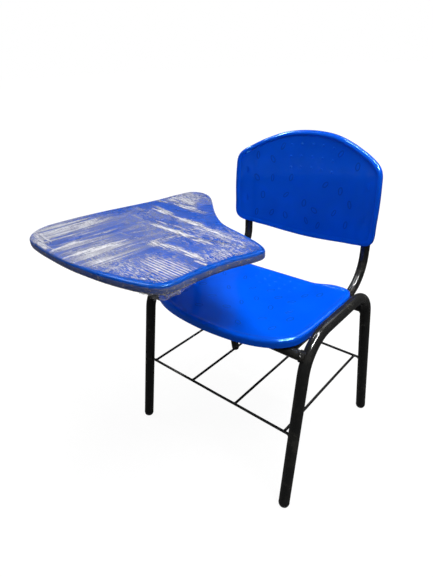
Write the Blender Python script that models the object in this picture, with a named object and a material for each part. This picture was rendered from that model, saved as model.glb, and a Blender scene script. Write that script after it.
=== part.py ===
"""Student chair with a fixed writing tablet, modelled as the separate pieces it is assembled from.

Two bent side frames stand on domed foot plugs and are joined by two cross tubes. Two bent back
tubes carry the moulded seat and back shells. A rack of steel rods hangs below the seat, and an
arm tube on the sitter's right holds the writing tablet, which is still in its stretch film.

Metres, +Z up, the sitter looks along -Y, and the sitter's left is +X.
"""
import math

import bmesh
import bpy
from mathutils import Matrix, Vector

# ---------------------------------------------------------------- driving dimensions
GAP = 0.0003                    # clearance left between pieces that touch

LEG_RADIUS = 0.0127             # 1 inch tube of the side frames
TUBE_RADIUS = 0.0111            # 7/8 inch tube of everything above the rack
TUBE_WALL = 0.0012
ROD_RADIUS = 0.0032             # 1/4 inch rod of the book rack

FLOOR_TRACK = 0.2332            # half distance between the side frames at the floor
RAIL_TRACK = 0.2301             # and at the rail
FOOT_REACH = 0.2052             # half distance between the front and rear feet
RAIL_HEIGHT = 0.4127            # centre of the side rail
FRONT_RAKE = 0.1621             # how far a leg runs back per metre of height
REAR_RAKE = -0.1729
FRONT_BEND = 0.086
REAR_BEND = 0.073
STEEL_END = 0.0105              # length of a leg's axis that the foot plug takes up

SEAT_TUBE_HEIGHT = 0.3805       # centre of the front cross tube and of the tubes under the seat
SEAT_TUBE_FRONT_X = 0.188
SEAT_TUBE_REAR_X = 0.181
BACK_CORNER_Y = 0.2137          # where the seat run and the upright would meet, unbent
BACK_TUBE_BEND = 0.085
BACK_LEAN = math.radians(2.5)
UPRIGHT_LENGTH = 0.285

RACK_HEIGHT = 0.190
RACK_WIRES_X = (-0.207, -0.069, 0.069, 0.207)

SEAT_FRONT = -0.2055
SEAT_REAR = 0.113
SEAT_HALF_WIDTH = 0.2145
SEAT_SIDE_Z = 0.4185            # top of the seat's rim along the sides
SEAT_FRONT_FALL = 0.0075        # how far the rim drops to the middle of the front
SEAT_REAR_FALL = 0.0105         # and to the middle of the rear
SEAT_DISH = 0.014               # how far the middle lies below the rim
SEAT_WALL = 0.003
SEAT_BOSS_Y = (-0.090, 0.062)

BACK_EDGE_Y = 0.191             # depth of the back shell's outer edge, at its foot
BACK_FOOT_Z = 0.510
BACK_HALF_WIDTH = 0.210
BACK_HOLLOW = 0.042             # how far the middle lies behind the outer edges
BACK_WALL = 0.003
BACK_BOSS_V = (0.050, 0.128)    # heights of the fixing screws above the shell's foot

TABLET_TOP = 0.595
TABLET_THICKNESS = 0.019
TABLET_EDGE_RADIUS = 0.006
FILM_THICKNESS = 0.0004
FILM_RETURN = 0.012             # how far the film turns in under the board
ARM_Y_REAR = 0.040
ARM_Y_FRONT = -0.225
ARM_X_END = 0.055
ARM_REAR_BEND = 0.045
ARM_FRONT_BEND = 0.060
STRUT_Y = -0.062
ARM_SCREWS = ((-RAIL_TRACK, -0.018), (-RAIL_TRACK, -0.130), (-0.115, ARM_Y_FRONT), (0.020, ARM_Y_FRONT))

SHANK_RADIUS = 0.0022
HOLE_RADIUS = 0.0027            # clearance hole and pilot hole
HEAD_RADIUS = 0.0048
HEAD_HEIGHT = 0.0026
SEAT_SCREW_LENGTH = 0.036
BACK_SCREW_LENGTH = 0.028
ARM_SCREW_LENGTH = 0.034
PILOT_MOUTH = 0.002             # how far a hole's cutter starts before the face it enters
SEAT_PILOT_DEPTH = 0.015
BACK_PILOT_DEPTH = 0.0065
BOARD_PILOT_DEPTH = 0.0125
SEAT_BOSS_RADIUS = 0.0070
BACK_BOSS_RADIUS = 0.0075
BOSS_COVER = 0.0028             # plastic left over the end of a seat boss
BACK_BOSS_COVER = 0.0018
HOLE_MARGIN = 0.009             # how far a through hole's cutter runs past the tube

TUBE_SIDES = 14
FRAME_SIDES = 16
ROD_SIDES = 10
SLIM = 0.99                     # a piece coped into one of its own size is drawn this much slimmer

X_AXIS = Vector((1.0, 0.0, 0.0))
Z_AXIS = Vector((0.0, 0.0, 1.0))
BACK_NORMAL = Vector((0.0, -math.cos(BACK_LEAN), math.sin(BACK_LEAN)))     # from the back to the sitter


# ---------------------------------------------------------------- scene, materials and nodes
def clear_scene():
    for thing in list(bpy.data.objects):
        bpy.data.objects.remove(thing)


def make_material(name, colour, roughness, metallic=0.0):
    material = bpy.data.materials.new(name)
    material.use_nodes = True
    shader = material.node_tree.nodes["Principled BSDF"]
    shader.inputs["Base Color"].default_value = (*colour, 1.0)
    shader.inputs["Roughness"].default_value = roughness
    shader.inputs["Metallic"].default_value = metallic
    material.diffuse_color = (*colour, 1.0)
    return material


clear_scene()
ROOT = bpy.data.objects.new("root_empty", None)
bpy.context.scene.collection.objects.link(ROOT)
BLUE_PLASTIC = make_material("blue_plastic", (0.004, 0.075, 0.62), 0.22)
BLUE_BOARD = make_material("blue_board", (0.012, 0.065, 0.46), 0.30)
BLACK_ENAMEL = make_material("black_enamel", (0.012, 0.012, 0.013), 0.28)
BLACK_PLASTIC = make_material("black_plastic", (0.016, 0.016, 0.017), 0.55)
ZINC = make_material("zinc_plate", (0.55, 0.56, 0.58), 0.32, 1.0)
CLEAR_FILM = make_material("clear_film", (0.62, 0.66, 0.82), 0.25)


def add_object(name, mesh_data, matrix=None):
    """Turn a bmesh into an object under the root, placed by the given matrix."""
    bmesh.ops.recalc_face_normals(mesh_data, faces=mesh_data.faces)
    mesh = bpy.data.meshes.new(name)
    mesh_data.to_mesh(mesh)
    mesh_data.free()
    thing = bpy.data.objects.new(name, mesh)
    bpy.context.scene.collection.objects.link(thing)
    thing.parent = ROOT
    if matrix is not None:
        thing.matrix_local = matrix
    return thing


def add_piece(name, mesh_data, material, matrix=None):
    thing = add_object(name, mesh_data, matrix)
    thing.data.materials.append(material)
    thing.data.shade_smooth()
    thing.data.set_sharp_from_angle(angle=math.radians(35))
    return thing


def add_cutter(name, mesh_data):
    thing = add_object(name, mesh_data)
    thing.hide_render = True
    thing.display_type = "WIRE"
    return thing


def combine(piece, cutter, operation="DIFFERENCE"):
    modifier = piece.modifiers.new(f"{operation.lower()}_{cutter.name}", "BOOLEAN")
    modifier.operation = operation
    modifier.solver = "EXACT"
    modifier.object = cutter


# ---------------------------------------------------------------- geometry helpers
def bent_path(corners, radii, steps=7):
    """Straight runs through the corners, joined by circular bends."""
    path = [corners[0]]
    for before, corner, after, radius in zip(corners, corners[1:], corners[2:], radii):
        back = (before - corner).normalized()
        ahead = (after - corner).normalized()
        half_turn = (math.pi - back.angle(ahead)) / 2
        start = corner + back * radius * math.tan(half_turn)
        centre = corner + (back + ahead).normalized() * radius / math.cos(half_turn)
        axis = ahead.cross(back).normalized()
        for step in range(steps + 1):
            turn = Matrix.Rotation(2 * half_turn * step / steps, 3, axis)
            path.append(centre + turn @ (start - centre))
    path.append(corners[-1])
    return path


def add_sweep(mesh_data, path, radius, sides, wall=0.0):
    """Sweep a round bar along a path, or a tube that is open at both ends if it has a wall."""
    tangents = []
    for index in range(len(path)):
        ahead = path[min(index + 1, len(path) - 1)]
        behind = path[max(index - 1, 0)]
        tangents.append((ahead - behind).normalized())
    side = tangents[0].orthogonal()
    surfaces = []
    for ring_radius in (radius,) if wall == 0.0 else (radius, radius - wall):
        rings = []
        for point, tangent in zip(path, tangents):
            side = (side - tangent * side.dot(tangent)).normalized()
            up = tangent.cross(side)
            ring = []
            for step in range(sides):
                angle = 2 * math.pi * step / sides
                offset = side * math.cos(angle) + up * math.sin(angle)
                ring.append(mesh_data.verts.new(point + offset * ring_radius))
            rings.append(ring)
        side = tangents[0].orthogonal()
        surfaces.append(rings)
    for rings in surfaces:
        for low, high in zip(rings, rings[1:]):
            bridge(mesh_data, low, high)
    for end in (0, -1):
        if wall == 0.0:
            mesh_data.faces.new(surfaces[0][end])
        else:
            bridge(mesh_data, surfaces[0][end], surfaces[1][end])


def bridge(mesh_data, low, high):
    """Quads between two rings of the same length."""
    count = len(low)
    for index in range(count):
        following = (index + 1) % count
        mesh_data.faces.new((low[index], low[following], high[following], high[index]))


def sweep(path, radius, sides, wall=0.0):
    mesh_data = bmesh.new()
    add_sweep(mesh_data, path, radius, sides, wall)
    return mesh_data


def add_lathe(mesh_data, profile, sides, matrix):
    """Turn a profile of (radius, height) pairs about Z, closed on the axis at both ends."""
    rings = []
    for radius, height in profile:
        ring = []
        for step in range(sides):
            angle = 2 * math.pi * step / sides
            ring.append(mesh_data.verts.new(matrix @ Vector((radius * math.cos(angle),
                                                             radius * math.sin(angle), height))))
        rings.append(ring)
    for low, high in zip(rings, rings[1:]):
        bridge(mesh_data, low, high)
    mesh_data.faces.new(rings[0])
    mesh_data.faces.new(rings[-1])


def lathe(profile, sides, matrix=None):
    mesh_data = bmesh.new()
    add_lathe(mesh_data, profile, sides, matrix or Matrix())
    return mesh_data


def rods_cutter(name, starts, direction, length, radius=HOLE_RADIUS):
    """Parallel round bars in one cutter, each from its start point."""
    mesh_data = bmesh.new()
    for start in starts:
        add_sweep(mesh_data, [start, start + direction * length], radius, 12)
    return add_cutter(name, mesh_data)


def smooth_loop(knots, per_span):
    """Points of a closed smooth curve through the given plan points."""
    count = len(knots)
    points = []
    for index in range(count):
        before, start, end, after = (Vector(knots[(index + shift) % count]) for shift in (-1, 0, 1, 2))
        for step in range(per_span):
            t = step / per_span
            points.append(((2 * start)
                           + (end - before) * t
                           + (2 * before - 5 * start + 4 * end - after) * t ** 2
                           + (3 * start - before - 3 * end + after) * t ** 3) / 2)
    return points


def mirrored(half):
    """A closed outline from the half at +X, listed from one centre point to the other."""
    return half + [(-x, y) for x, y in reversed(half[1:-1])]


def inset_loop(points, distance):
    """The loop moved sideways: inwards for a positive distance, for a loop listed anticlockwise."""
    moved = []
    for before, point, after in zip(points[-1:] + points[:-1], points, points[1:] + points[:1]):
        along = (after - before).normalized()
        moved.append(point + Vector((-along.y, along.x)) * distance)
    return moved


def dished_sheet(outline, rim, field, height):
    """An open sheet: a field at height(x, y), inside a rim that rolls over and turns back.

    rim lists (inset, rise) from the free lip inwards, and field lists how the innermost rim
    loop shrinks towards the middle.
    """
    mesh_data = bmesh.new()
    loops = [(inset_loop(outline, inset), rise) for inset, rise in rim]
    inner, level = loops[-1]
    middle = sum(inner, Vector((0.0, 0.0))) / len(inner)
    loops += [([middle + (point - middle) * scale for point in inner], level) for scale in field]
    rings = [[mesh_data.verts.new((x, y, height(x, y) + rise)) for x, y in loop] for loop, rise in loops]
    for low, high in zip(rings, rings[1:]):
        bridge(mesh_data, low, high)
    hub = mesh_data.verts.new((*middle, height(*middle) + level))
    last = rings[-1]
    for index, vertex in enumerate(last):
        mesh_data.faces.new((vertex, last[(index + 1) % len(last)], hub))
    return mesh_data


def stack_of_loops(loops):
    """A solid from closed loops of points: the first and last are its flat ends."""
    mesh_data = bmesh.new()
    rings = [[mesh_data.verts.new(point) for point in loop] for loop in loops]
    for low, high in zip(rings, rings[1:]):
        bridge(mesh_data, low, high)
    mesh_data.faces.new(rings[0])
    mesh_data.faces.new(rings[-1])
    return mesh_data


def thicken(piece, wall):
    modifier = piece.modifiers.new("wall", "SOLIDIFY")
    modifier.thickness = wall
    modifier.offset = -1.0
    modifier.use_even_offset = True
    modifier.use_quality_normals = True


def tube_plug(name, matrix):
    """A plug in the open end of a 7/8 inch tube, which ends at the matrix's origin and faces its Z."""
    stem = TUBE_RADIUS - TUBE_WALL - GAP
    profile = [(stem * 0.85, -0.0160), (stem, -0.0140), (stem, GAP), (TUBE_RADIUS, GAP),
               (TUBE_RADIUS, 0.0022), (TUBE_RADIUS * 0.75, 0.0040)]
    add_piece(name, lathe(profile, TUBE_SIDES, matrix), BLACK_PLASTIC)


def screw_mesh(shank_length):
    """A pan-head screw along Z: the shank points up from the head's seat at the origin."""
    return lathe([(HEAD_RADIUS * 0.62, -HEAD_HEIGHT),
                  (HEAD_RADIUS, -HEAD_HEIGHT * 0.45),
                  (HEAD_RADIUS, 0.0),
                  (SHANK_RADIUS, 0.0),
                  (SHANK_RADIUS, shank_length - SHANK_RADIUS),
                  (SHANK_RADIUS * 0.35, shank_length)], 8)


# ---------------------------------------------------------------- side frames and feet
def track(height):
    """Half distance between the side frames at a height."""
    return FLOOR_TRACK + (RAIL_TRACK - FLOOR_TRACK) * height / RAIL_HEIGHT


def leg_y(height, rear):
    return FOOT_REACH + REAR_RAKE * height if rear else -FOOT_REACH + FRONT_RAKE * height


def side_frame_path(side, first_height):
    corners = [Vector((side * track(first_height), leg_y(first_height, False), first_height)),
               Vector((side * RAIL_TRACK, leg_y(RAIL_HEIGHT, False), RAIL_HEIGHT)),
               Vector((side * RAIL_TRACK, leg_y(RAIL_HEIGHT, True), RAIL_HEIGHT)),
               Vector((side * track(first_height), leg_y(first_height, True), first_height))]
    return bent_path(corners, (FRONT_BEND, REAR_BEND))


def make_side_frames():
    around_frames = bmesh.new()
    for name, side in (("side_frame_left", 1), ("side_frame_right", -1)):
        path = side_frame_path(side, STEEL_END)
        add_piece(name, sweep(path, LEG_RADIUS, FRAME_SIDES, TUBE_WALL), BLACK_ENAMEL)
        add_sweep(around_frames, path, LEG_RADIUS + GAP, FRAME_SIDES)
    return add_cutter("cutter_side_frames", around_frames)


def make_foot_plugs():
    """Domed plugs pressed into the leg ends, ground flat where they meet the floor."""
    stem = LEG_RADIUS - TUBE_WALL - GAP
    flange_top = STEEL_END - GAP
    profile = [(0.0045, -0.0012), (0.0088, 0.0006), (0.0115, 0.0040), (LEG_RADIUS, 0.0085),
               (LEG_RADIUS, flange_top), (stem, flange_top), (stem, 0.028), (stem * 0.8, 0.030)]
    for end_name, rear in (("front", False), ("rear", True)):
        for side_name, side in (("left", 1), ("right", -1)):
            foot = Vector((side * FLOOR_TRACK, leg_y(0.0, rear), 0.0))
            up = Vector((side * track(STEEL_END), leg_y(STEEL_END, rear), STEEL_END)) - foot
            matrix = Matrix.Translation(foot) @ up.to_track_quat("Z", "X").to_matrix().to_4x4()
            mesh_data = lathe(profile, 14, matrix)
            everything = mesh_data.verts[:] + mesh_data.edges[:] + mesh_data.faces[:]
            cut = bmesh.ops.bisect_plane(mesh_data, geom=everything, plane_co=(0.0, 0.0, 0.0),
                                         plane_no=(0.0, 0.0, -1.0), clear_outer=True)
            rim = [item for item in cut["geom_cut"] if isinstance(item, bmesh.types.BMEdge)]
            bmesh.ops.edgeloop_fill(mesh_data, edges=rim)
            add_piece(f"foot_plug_{end_name}_{side_name}", mesh_data, BLACK_PLASTIC)


# ---------------------------------------------------------------- tubes under the seat and the uprights
def make_cross_tubes(frames_cutter):
    """The front tube lies level with the seat tubes, the rear one just below them."""
    rear_height = SEAT_TUBE_HEIGHT - 2 * TUBE_RADIUS - GAP
    around_front = None
    for name, height, rear in (("cross_tube_front", SEAT_TUBE_HEIGHT, False),
                               ("cross_tube_rear", rear_height, True)):
        reach = X_AXIS * track(height)
        middle = Vector((0.0, leg_y(height, rear), height))
        path = [middle - reach, middle + reach]
        tube = add_piece(name, sweep(path, TUBE_RADIUS, FRAME_SIDES, TUBE_WALL), BLACK_ENAMEL)
        combine(tube, frames_cutter)
        if not rear:
            around_front = add_cutter("cutter_cross_tube", sweep(path, TUBE_RADIUS + GAP, FRAME_SIDES))
    return around_front


def upright_point(side, distance):
    """A point of the upright's axis, measured up from the unbent corner."""
    return Vector((side * SEAT_TUBE_REAR_X,
                   BACK_CORNER_Y + distance * math.sin(BACK_LEAN),
                   SEAT_TUBE_HEIGHT + distance * math.cos(BACK_LEAN)))


def seat_tube_x(y):
    front_y = leg_y(SEAT_TUBE_HEIGHT, False)
    share = (y - front_y) / (BACK_CORNER_Y - front_y)
    return SEAT_TUBE_FRONT_X + (SEAT_TUBE_REAR_X - SEAT_TUBE_FRONT_X) * share


def back_screw_seat(side, rise):
    """Where a back screw's head meets the rear of the upright, at a height above the shell's foot."""
    distance = (BACK_FOOT_Z - SEAT_TUBE_HEIGHT) / math.cos(BACK_LEAN) + rise
    return upright_point(side, distance) - BACK_NORMAL * (TUBE_RADIUS + GAP)


def make_back_tubes(around_cross_tube):
    """Each runs back under the seat, bends up behind it and ends in a plug behind the back shell."""
    hole_start = TUBE_RADIUS + HOLE_MARGIN
    for name, side in (("left", 1), ("right", -1)):
        front_y = leg_y(SEAT_TUBE_HEIGHT, False)
        corners = [Vector((side * SEAT_TUBE_FRONT_X, front_y, SEAT_TUBE_HEIGHT)),
                   upright_point(side, 0.0), upright_point(side, UPRIGHT_LENGTH)]
        path = bent_path(corners, (BACK_TUBE_BEND,))
        tube = add_piece(f"back_tube_{name}", sweep(path, TUBE_RADIUS, TUBE_SIDES, TUBE_WALL), BLACK_ENAMEL)
        combine(tube, around_cross_tube)
        hole_z = SEAT_TUBE_HEIGHT - hole_start
        seat_holes = [Vector((side * seat_tube_x(y), y, hole_z)) for y in SEAT_BOSS_Y]
        combine(tube, rods_cutter(f"cutter_seat_holes_{name}", seat_holes, Z_AXIS, 2 * hole_start))
        back_holes = [back_screw_seat(side, rise) - BACK_NORMAL * HOLE_MARGIN for rise in BACK_BOSS_V]
        combine(tube, rods_cutter(f"cutter_back_holes_{name}", back_holes, BACK_NORMAL, 2 * hole_start))
        tube_plug(f"back_tube_plug_{name}",
                  Matrix.Translation(corners[-1]) @ Matrix.Rotation(-BACK_LEAN, 4, "X"))


# ---------------------------------------------------------------- book rack
def make_rack(frames_cutter):
    around_rods = bmesh.new()
    rod_y = {}
    for name, rear in (("rack_rod_front", False), ("rack_rod_rear", True)):
        middle = Vector((0.0, leg_y(RACK_HEIGHT, rear), RACK_HEIGHT))
        reach = X_AXIS * track(RACK_HEIGHT)
        path = [middle - reach, middle + reach]
        combine(add_piece(name, sweep(path, ROD_RADIUS, ROD_SIDES), BLACK_ENAMEL), frames_cutter)
        add_sweep(around_rods, path, ROD_RADIUS + GAP, ROD_SIDES)
        rod_y[rear] = middle.y
    rods_around = add_cutter("cutter_rack_rods", around_rods)
    for number, x in enumerate(RACK_WIRES_X, start=1):
        path = [Vector((x, rod_y[False], RACK_HEIGHT)), Vector((x, rod_y[True], RACK_HEIGHT))]
        wire = add_piece(f"rack_wire_{number}", sweep(path, ROD_RADIUS * SLIM, ROD_SIDES), BLACK_ENAMEL)
        combine(wire, rods_around)


# ---------------------------------------------------------------- seat
SEAT_HALF_OUTLINE = [(0.0, SEAT_FRONT), (0.075, SEAT_FRONT + 0.006), (0.137, SEAT_FRONT + 0.0215),
                     (0.185, SEAT_FRONT + 0.047), (0.209, SEAT_FRONT + 0.083),
                     (SEAT_HALF_WIDTH, -0.040), (SEAT_HALF_WIDTH, 0.060), (0.208, 0.095),
                     (0.190, SEAT_REAR - 0.0015), (0.150, SEAT_REAR), (0.085, SEAT_REAR - 0.001),
                     (0.0, SEAT_REAR - 0.001)]
SEAT_RIM = [(0.0, -0.019), (0.0, -0.008), (0.0012, -0.0035), (0.0045, -0.0008), (0.009, 0.0),
            (0.015, -0.0012)]
SHELL_FIELD = (0.90, 0.74, 0.54, 0.30)


def eased(value, low, high):
    """0 below low, 1 above high, and a smooth step between them."""
    share = min(1.0, max(0.0, (value - low) / (high - low)))
    return share * share * (3.0 - 2.0 * share)


def seat_height(x, y):
    """Top of the seat: sides and rear corners highest, front edge falling away, middle dished."""
    across = min(1.0, abs(x) / SEAT_HALF_WIDTH)
    middle_y = (SEAT_FRONT + SEAT_REAR) / 2
    along = (y - middle_y) / ((SEAT_REAR - SEAT_FRONT) / 2)
    front_fall = SEAT_FRONT_FALL * max(0.0, -along) ** 3
    rear_fall = SEAT_REAR_FALL * (1.0 - eased(across, 0.45, 0.78)) * max(0.0, along) ** 2
    dish = SEAT_DISH * (1.0 - across ** 3) * max(0.0, 1.0 - abs(along) ** 3)
    return SEAT_SIDE_Z - front_fall - rear_fall - dish


def make_seat():
    outline = smooth_loop(mirrored(SEAT_HALF_OUTLINE), 2)
    seat = add_piece("seat_shell", dished_sheet(outline, SEAT_RIM, SHELL_FIELD, seat_height), BLUE_PLASTIC)
    thicken(seat, SEAT_WALL)
    boss_foot = SEAT_TUBE_HEIGHT + TUBE_RADIUS + GAP
    bosses = bmesh.new()
    pilots = []
    for y in SEAT_BOSS_Y:
        for side in (1, -1):
            x = side * seat_tube_x(y)
            foot = Vector((x, y, boss_foot))
            top = Vector((x, y, seat_height(x, y) - BOSS_COVER))
            add_sweep(bosses, [foot, top], SEAT_BOSS_RADIUS, 14)
            pilots.append(foot - Z_AXIS * PILOT_MOUTH)
    combine(seat, add_cutter("cutter_seat_bosses", bosses), "UNION")
    combine(seat, rods_cutter("cutter_seat_pilots", pilots, Z_AXIS, PILOT_MOUTH + SEAT_PILOT_DEPTH))
    head_seat = SEAT_TUBE_HEIGHT - TUBE_RADIUS - GAP
    number = 0
    for y in SEAT_BOSS_Y:
        for side in (1, -1):
            number += 1
            place = Matrix.Translation((side * seat_tube_x(y), y, head_seat))
            add_piece(f"seat_screw_{number}", screw_mesh(SEAT_SCREW_LENGTH), ZINC, place)


# ---------------------------------------------------------------- back
BACK_HALF_OUTLINE = [(0.0, -0.0375), (0.060, -0.0345), (0.120, -0.0270), (0.170, -0.0200),
                     (0.196, -0.0120), (0.2085, 0.006), (0.2095, 0.045), (BACK_HALF_WIDTH, 0.090),
                     (0.2080, 0.135), (0.2045, 0.162), (0.192, 0.1800), (0.165, 0.1965),
                     (0.120, 0.2175), (0.065, 0.2345), (0.0, 0.2400)]
BACK_RIM = [(0.0004, -0.0052), (0.0, -0.0015), (0.0010, 0.0025), (0.0040, 0.0052), (0.0085, 0.0060),
            (0.0125, 0.0048), (0.0148, 0.0028)]


def back_depth(u, v):
    """Height of the back's face over its own plane: hollow across, straight up and down."""
    return -BACK_HOLLOW * (1.0 - (u / BACK_HALF_WIDTH) ** 2)


def make_back():
    outline = smooth_loop(mirrored(BACK_HALF_OUTLINE), 2)
    place = (Matrix.Translation((0.0, BACK_EDGE_Y, BACK_FOOT_Z))
             @ Matrix.Rotation(math.pi / 2 - BACK_LEAN, 4, "X"))
    sheet = dished_sheet(outline, BACK_RIM, SHELL_FIELD, back_depth)
    back = add_piece("back_shell", sheet, BLUE_PLASTIC, place)
    thicken(back, BACK_WALL)
    bosses = bmesh.new()
    pilots = []
    number = 0
    for rise in BACK_BOSS_V:
        for name, side in (("left", 1), ("right", -1)):
            number += 1
            seat = back_screw_seat(side, rise)
            boss_foot = seat + BACK_NORMAL * (2 * TUBE_RADIUS + 2 * GAP)
            face = place @ Vector((side * SEAT_TUBE_REAR_X, 0.0,
                                   back_depth(side * SEAT_TUBE_REAR_X, 0.0) + BACK_RIM[-1][1]))
            depth = (face - boss_foot).dot(BACK_NORMAL) - BACK_BOSS_COVER
            add_sweep(bosses, [boss_foot, boss_foot + BACK_NORMAL * depth], BACK_BOSS_RADIUS, 14)
            pilots.append(boss_foot - BACK_NORMAL * PILOT_MOUTH)
            turn = Matrix.Rotation(math.pi / 2 - BACK_LEAN, 4, "X")
            add_piece(f"back_screw_{number}", screw_mesh(BACK_SCREW_LENGTH), ZINC,
                      Matrix.Translation(seat) @ turn)
    combine(back, add_cutter("cutter_back_bosses", bosses), "UNION")
    combine(back, rods_cutter("cutter_back_pilots", pilots, BACK_NORMAL, PILOT_MOUTH + BACK_PILOT_DEPTH))


# ---------------------------------------------------------------- tablet and its arm
TABLET_OUTLINE = [(-0.326, -0.374), (-0.290, -0.394), (-0.225, -0.404), (-0.125, -0.410),
                  (-0.025, -0.404), (0.050, -0.390), (0.083, -0.377), (0.097, -0.354),
                  (0.101, -0.306), (0.113, -0.238), (0.136, -0.176), (0.135, -0.152),
                  (0.108, -0.132), (0.051, -0.1105), (-0.013, -0.0885), (-0.053, -0.0645),
                  (-0.104, -0.022), (-0.1575, 0.031), (-0.187, 0.058), (-0.215, 0.0735),
                  (-0.245, 0.0765), (-0.268, 0.062), (-0.2795, 0.024), (-0.2895, -0.045),
                  (-0.308, -0.112), (-0.330, -0.188), (-0.3445, -0.268), (-0.348, -0.331)]


def level_loop(points, inset, height):
    return [Vector((*point, height)) for point in inset_loop(points, inset)]


def make_tablet():
    """A solid board with rounded edges, inside a thin film that turns in under it."""
    outline = smooth_loop(TABLET_OUTLINE, 2)
    bottom = TABLET_TOP - TABLET_THICKNESS
    radius = TABLET_EDGE_RADIUS
    quarter = (0.0, math.pi / 4, math.pi / 2)
    arc = [(radius * (1 - math.cos(angle)), radius * (1 - math.sin(angle))) for angle in quarter]
    edge = [(inset, TABLET_TOP - drop) for inset, drop in reversed(arc)]
    lower_edge = [(inset, bottom + drop) for inset, drop in arc]
    profile = edge + lower_edge
    loops = [level_loop(outline, inset, height) for inset, height in profile]
    board = add_piece("tablet_board", stack_of_loops(loops), BLUE_BOARD)
    pilots = [Vector((x, y, bottom - PILOT_MOUTH)) for x, y in ARM_SCREWS]
    combine(board, rods_cutter("cutter_tablet_pilots", pilots, Z_AXIS, PILOT_MOUTH + BOARD_PILOT_DEPTH))

    film = bmesh.new()
    inner = grown(profile, GAP, bottom)
    outer = grown(profile, GAP + FILM_THICKNESS, bottom)
    section = outer + list(reversed(inner))
    rings = [[film.verts.new(point) for point in level_loop(outline, inset, height)]
             for inset, height in section]
    for low, high in zip(rings, rings[1:]):
        bridge(film, low, high)
    film.faces.new(rings[0])
    film.faces.new(rings[-1])
    add_piece("tablet_film", film, CLEAR_FILM)


def grown(profile, offset, bottom):
    """The board's edge profile moved outwards, and run in under the board by the film's return."""
    middle_z = bottom + TABLET_THICKNESS / 2
    radius = TABLET_EDGE_RADIUS
    moved = []
    for inset, height in profile:
        corner_z = TABLET_TOP - radius if height > middle_z else bottom + radius
        direction = Vector((inset - radius, height - corner_z)).normalized()
        moved.append((inset + direction.x * offset, height + direction.y * offset))
    return moved + [(FILM_RETURN, bottom - offset)]


def make_arm(frames_cutter):
    arm_height = TABLET_TOP - TABLET_THICKNESS - TUBE_RADIUS - GAP
    corners = [Vector((-RAIL_TRACK, ARM_Y_REAR, RAIL_HEIGHT)),
               Vector((-RAIL_TRACK, ARM_Y_REAR, arm_height)),
               Vector((-RAIL_TRACK, ARM_Y_FRONT, arm_height)),
               Vector((ARM_X_END, ARM_Y_FRONT, arm_height))]
    path = bent_path(corners, (ARM_REAR_BEND, ARM_FRONT_BEND))
    arm = add_piece("tablet_arm_tube", sweep(path, TUBE_RADIUS, TUBE_SIDES, TUBE_WALL), BLACK_ENAMEL)
    combine(arm, frames_cutter)
    hole_start = TUBE_RADIUS + HOLE_MARGIN
    holes = [Vector((x, y, arm_height - hole_start)) for x, y in ARM_SCREWS]
    combine(arm, rods_cutter("cutter_arm_holes", holes, Z_AXIS, 2 * hole_start))
    around_arm = add_cutter("cutter_arm", sweep(path, TUBE_RADIUS + GAP, TUBE_SIDES))

    strut_path = [Vector((-RAIL_TRACK, STRUT_Y, height)) for height in (RAIL_HEIGHT, arm_height)]
    strut_mesh = sweep(strut_path, TUBE_RADIUS * SLIM, TUBE_SIDES, TUBE_WALL)
    strut = add_piece("tablet_strut", strut_mesh, BLACK_ENAMEL)
    combine(strut, frames_cutter)
    combine(strut, around_arm)

    tube_plug("tablet_arm_plug",
              Matrix.Translation(corners[-1]) @ Matrix.Rotation(math.pi / 2, 4, "Y"))
    for number, (x, y) in enumerate(ARM_SCREWS, start=1):
        place = Matrix.Translation((x, y, arm_height - TUBE_RADIUS - GAP))
        add_piece(f"tablet_screw_{number}", screw_mesh(ARM_SCREW_LENGTH), ZINC, place)


# ---------------------------------------------------------------- assembly
def centre_on_footprint():
    """Move the whole chair so that the middle of its bounding box is over the origin."""
    bpy.context.view_layer.update()
    corners = []
    for thing in ROOT.children:
        if not thing.hide_render:
            corners += [thing.matrix_world @ Vector(corner) for corner in thing.bound_box]
    for axis in (0, 1):
        low = min(corner[axis] for corner in corners)
        high = max(corner[axis] for corner in corners)
        ROOT.location[axis] = -(low + high) / 2
    bpy.context.view_layer.update()


frames = make_side_frames()
make_foot_plugs()
make_back_tubes(make_cross_tubes(frames))
make_rack(frames)
make_seat()
make_back()
make_tablet()
make_arm(frames)
centre_on_footprint()
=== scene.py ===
"""Studio scene of a student chair with a writing tablet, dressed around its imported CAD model.

Every visible piece is built here in mesh code, in the chair's own frame (the middle between the
four feet, sitter facing -Y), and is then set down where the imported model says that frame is.
"""

from itertools import accumulate
from math import cos, exp, hypot, pi, radians, sin, sqrt, tan

import bmesh
import bpy
from mathutils import Matrix, Vector, noise


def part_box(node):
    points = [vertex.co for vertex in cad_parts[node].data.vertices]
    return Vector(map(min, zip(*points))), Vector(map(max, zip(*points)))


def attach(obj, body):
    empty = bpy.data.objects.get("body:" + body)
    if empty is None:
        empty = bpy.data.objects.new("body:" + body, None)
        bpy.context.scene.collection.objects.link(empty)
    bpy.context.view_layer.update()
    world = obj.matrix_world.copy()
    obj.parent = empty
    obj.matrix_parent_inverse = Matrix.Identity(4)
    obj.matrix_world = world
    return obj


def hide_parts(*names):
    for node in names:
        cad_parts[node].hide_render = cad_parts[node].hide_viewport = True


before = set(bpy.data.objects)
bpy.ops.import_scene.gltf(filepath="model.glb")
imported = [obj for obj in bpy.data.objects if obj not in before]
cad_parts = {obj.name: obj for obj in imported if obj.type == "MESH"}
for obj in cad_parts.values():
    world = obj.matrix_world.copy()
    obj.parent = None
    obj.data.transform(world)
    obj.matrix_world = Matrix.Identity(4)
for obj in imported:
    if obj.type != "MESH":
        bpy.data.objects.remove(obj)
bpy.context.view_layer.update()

# ---- sizes shared with the CAD part
LEG_RADIUS = 0.0127
TUBE_RADIUS = 0.0111
TUBE_WALL = 0.0012
ROD_RADIUS = 0.0032
FLOOR_TRACK = 0.2332
RAIL_TRACK = 0.2301
FOOT_REACH = 0.2052
RAIL_HEIGHT = 0.4127
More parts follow.
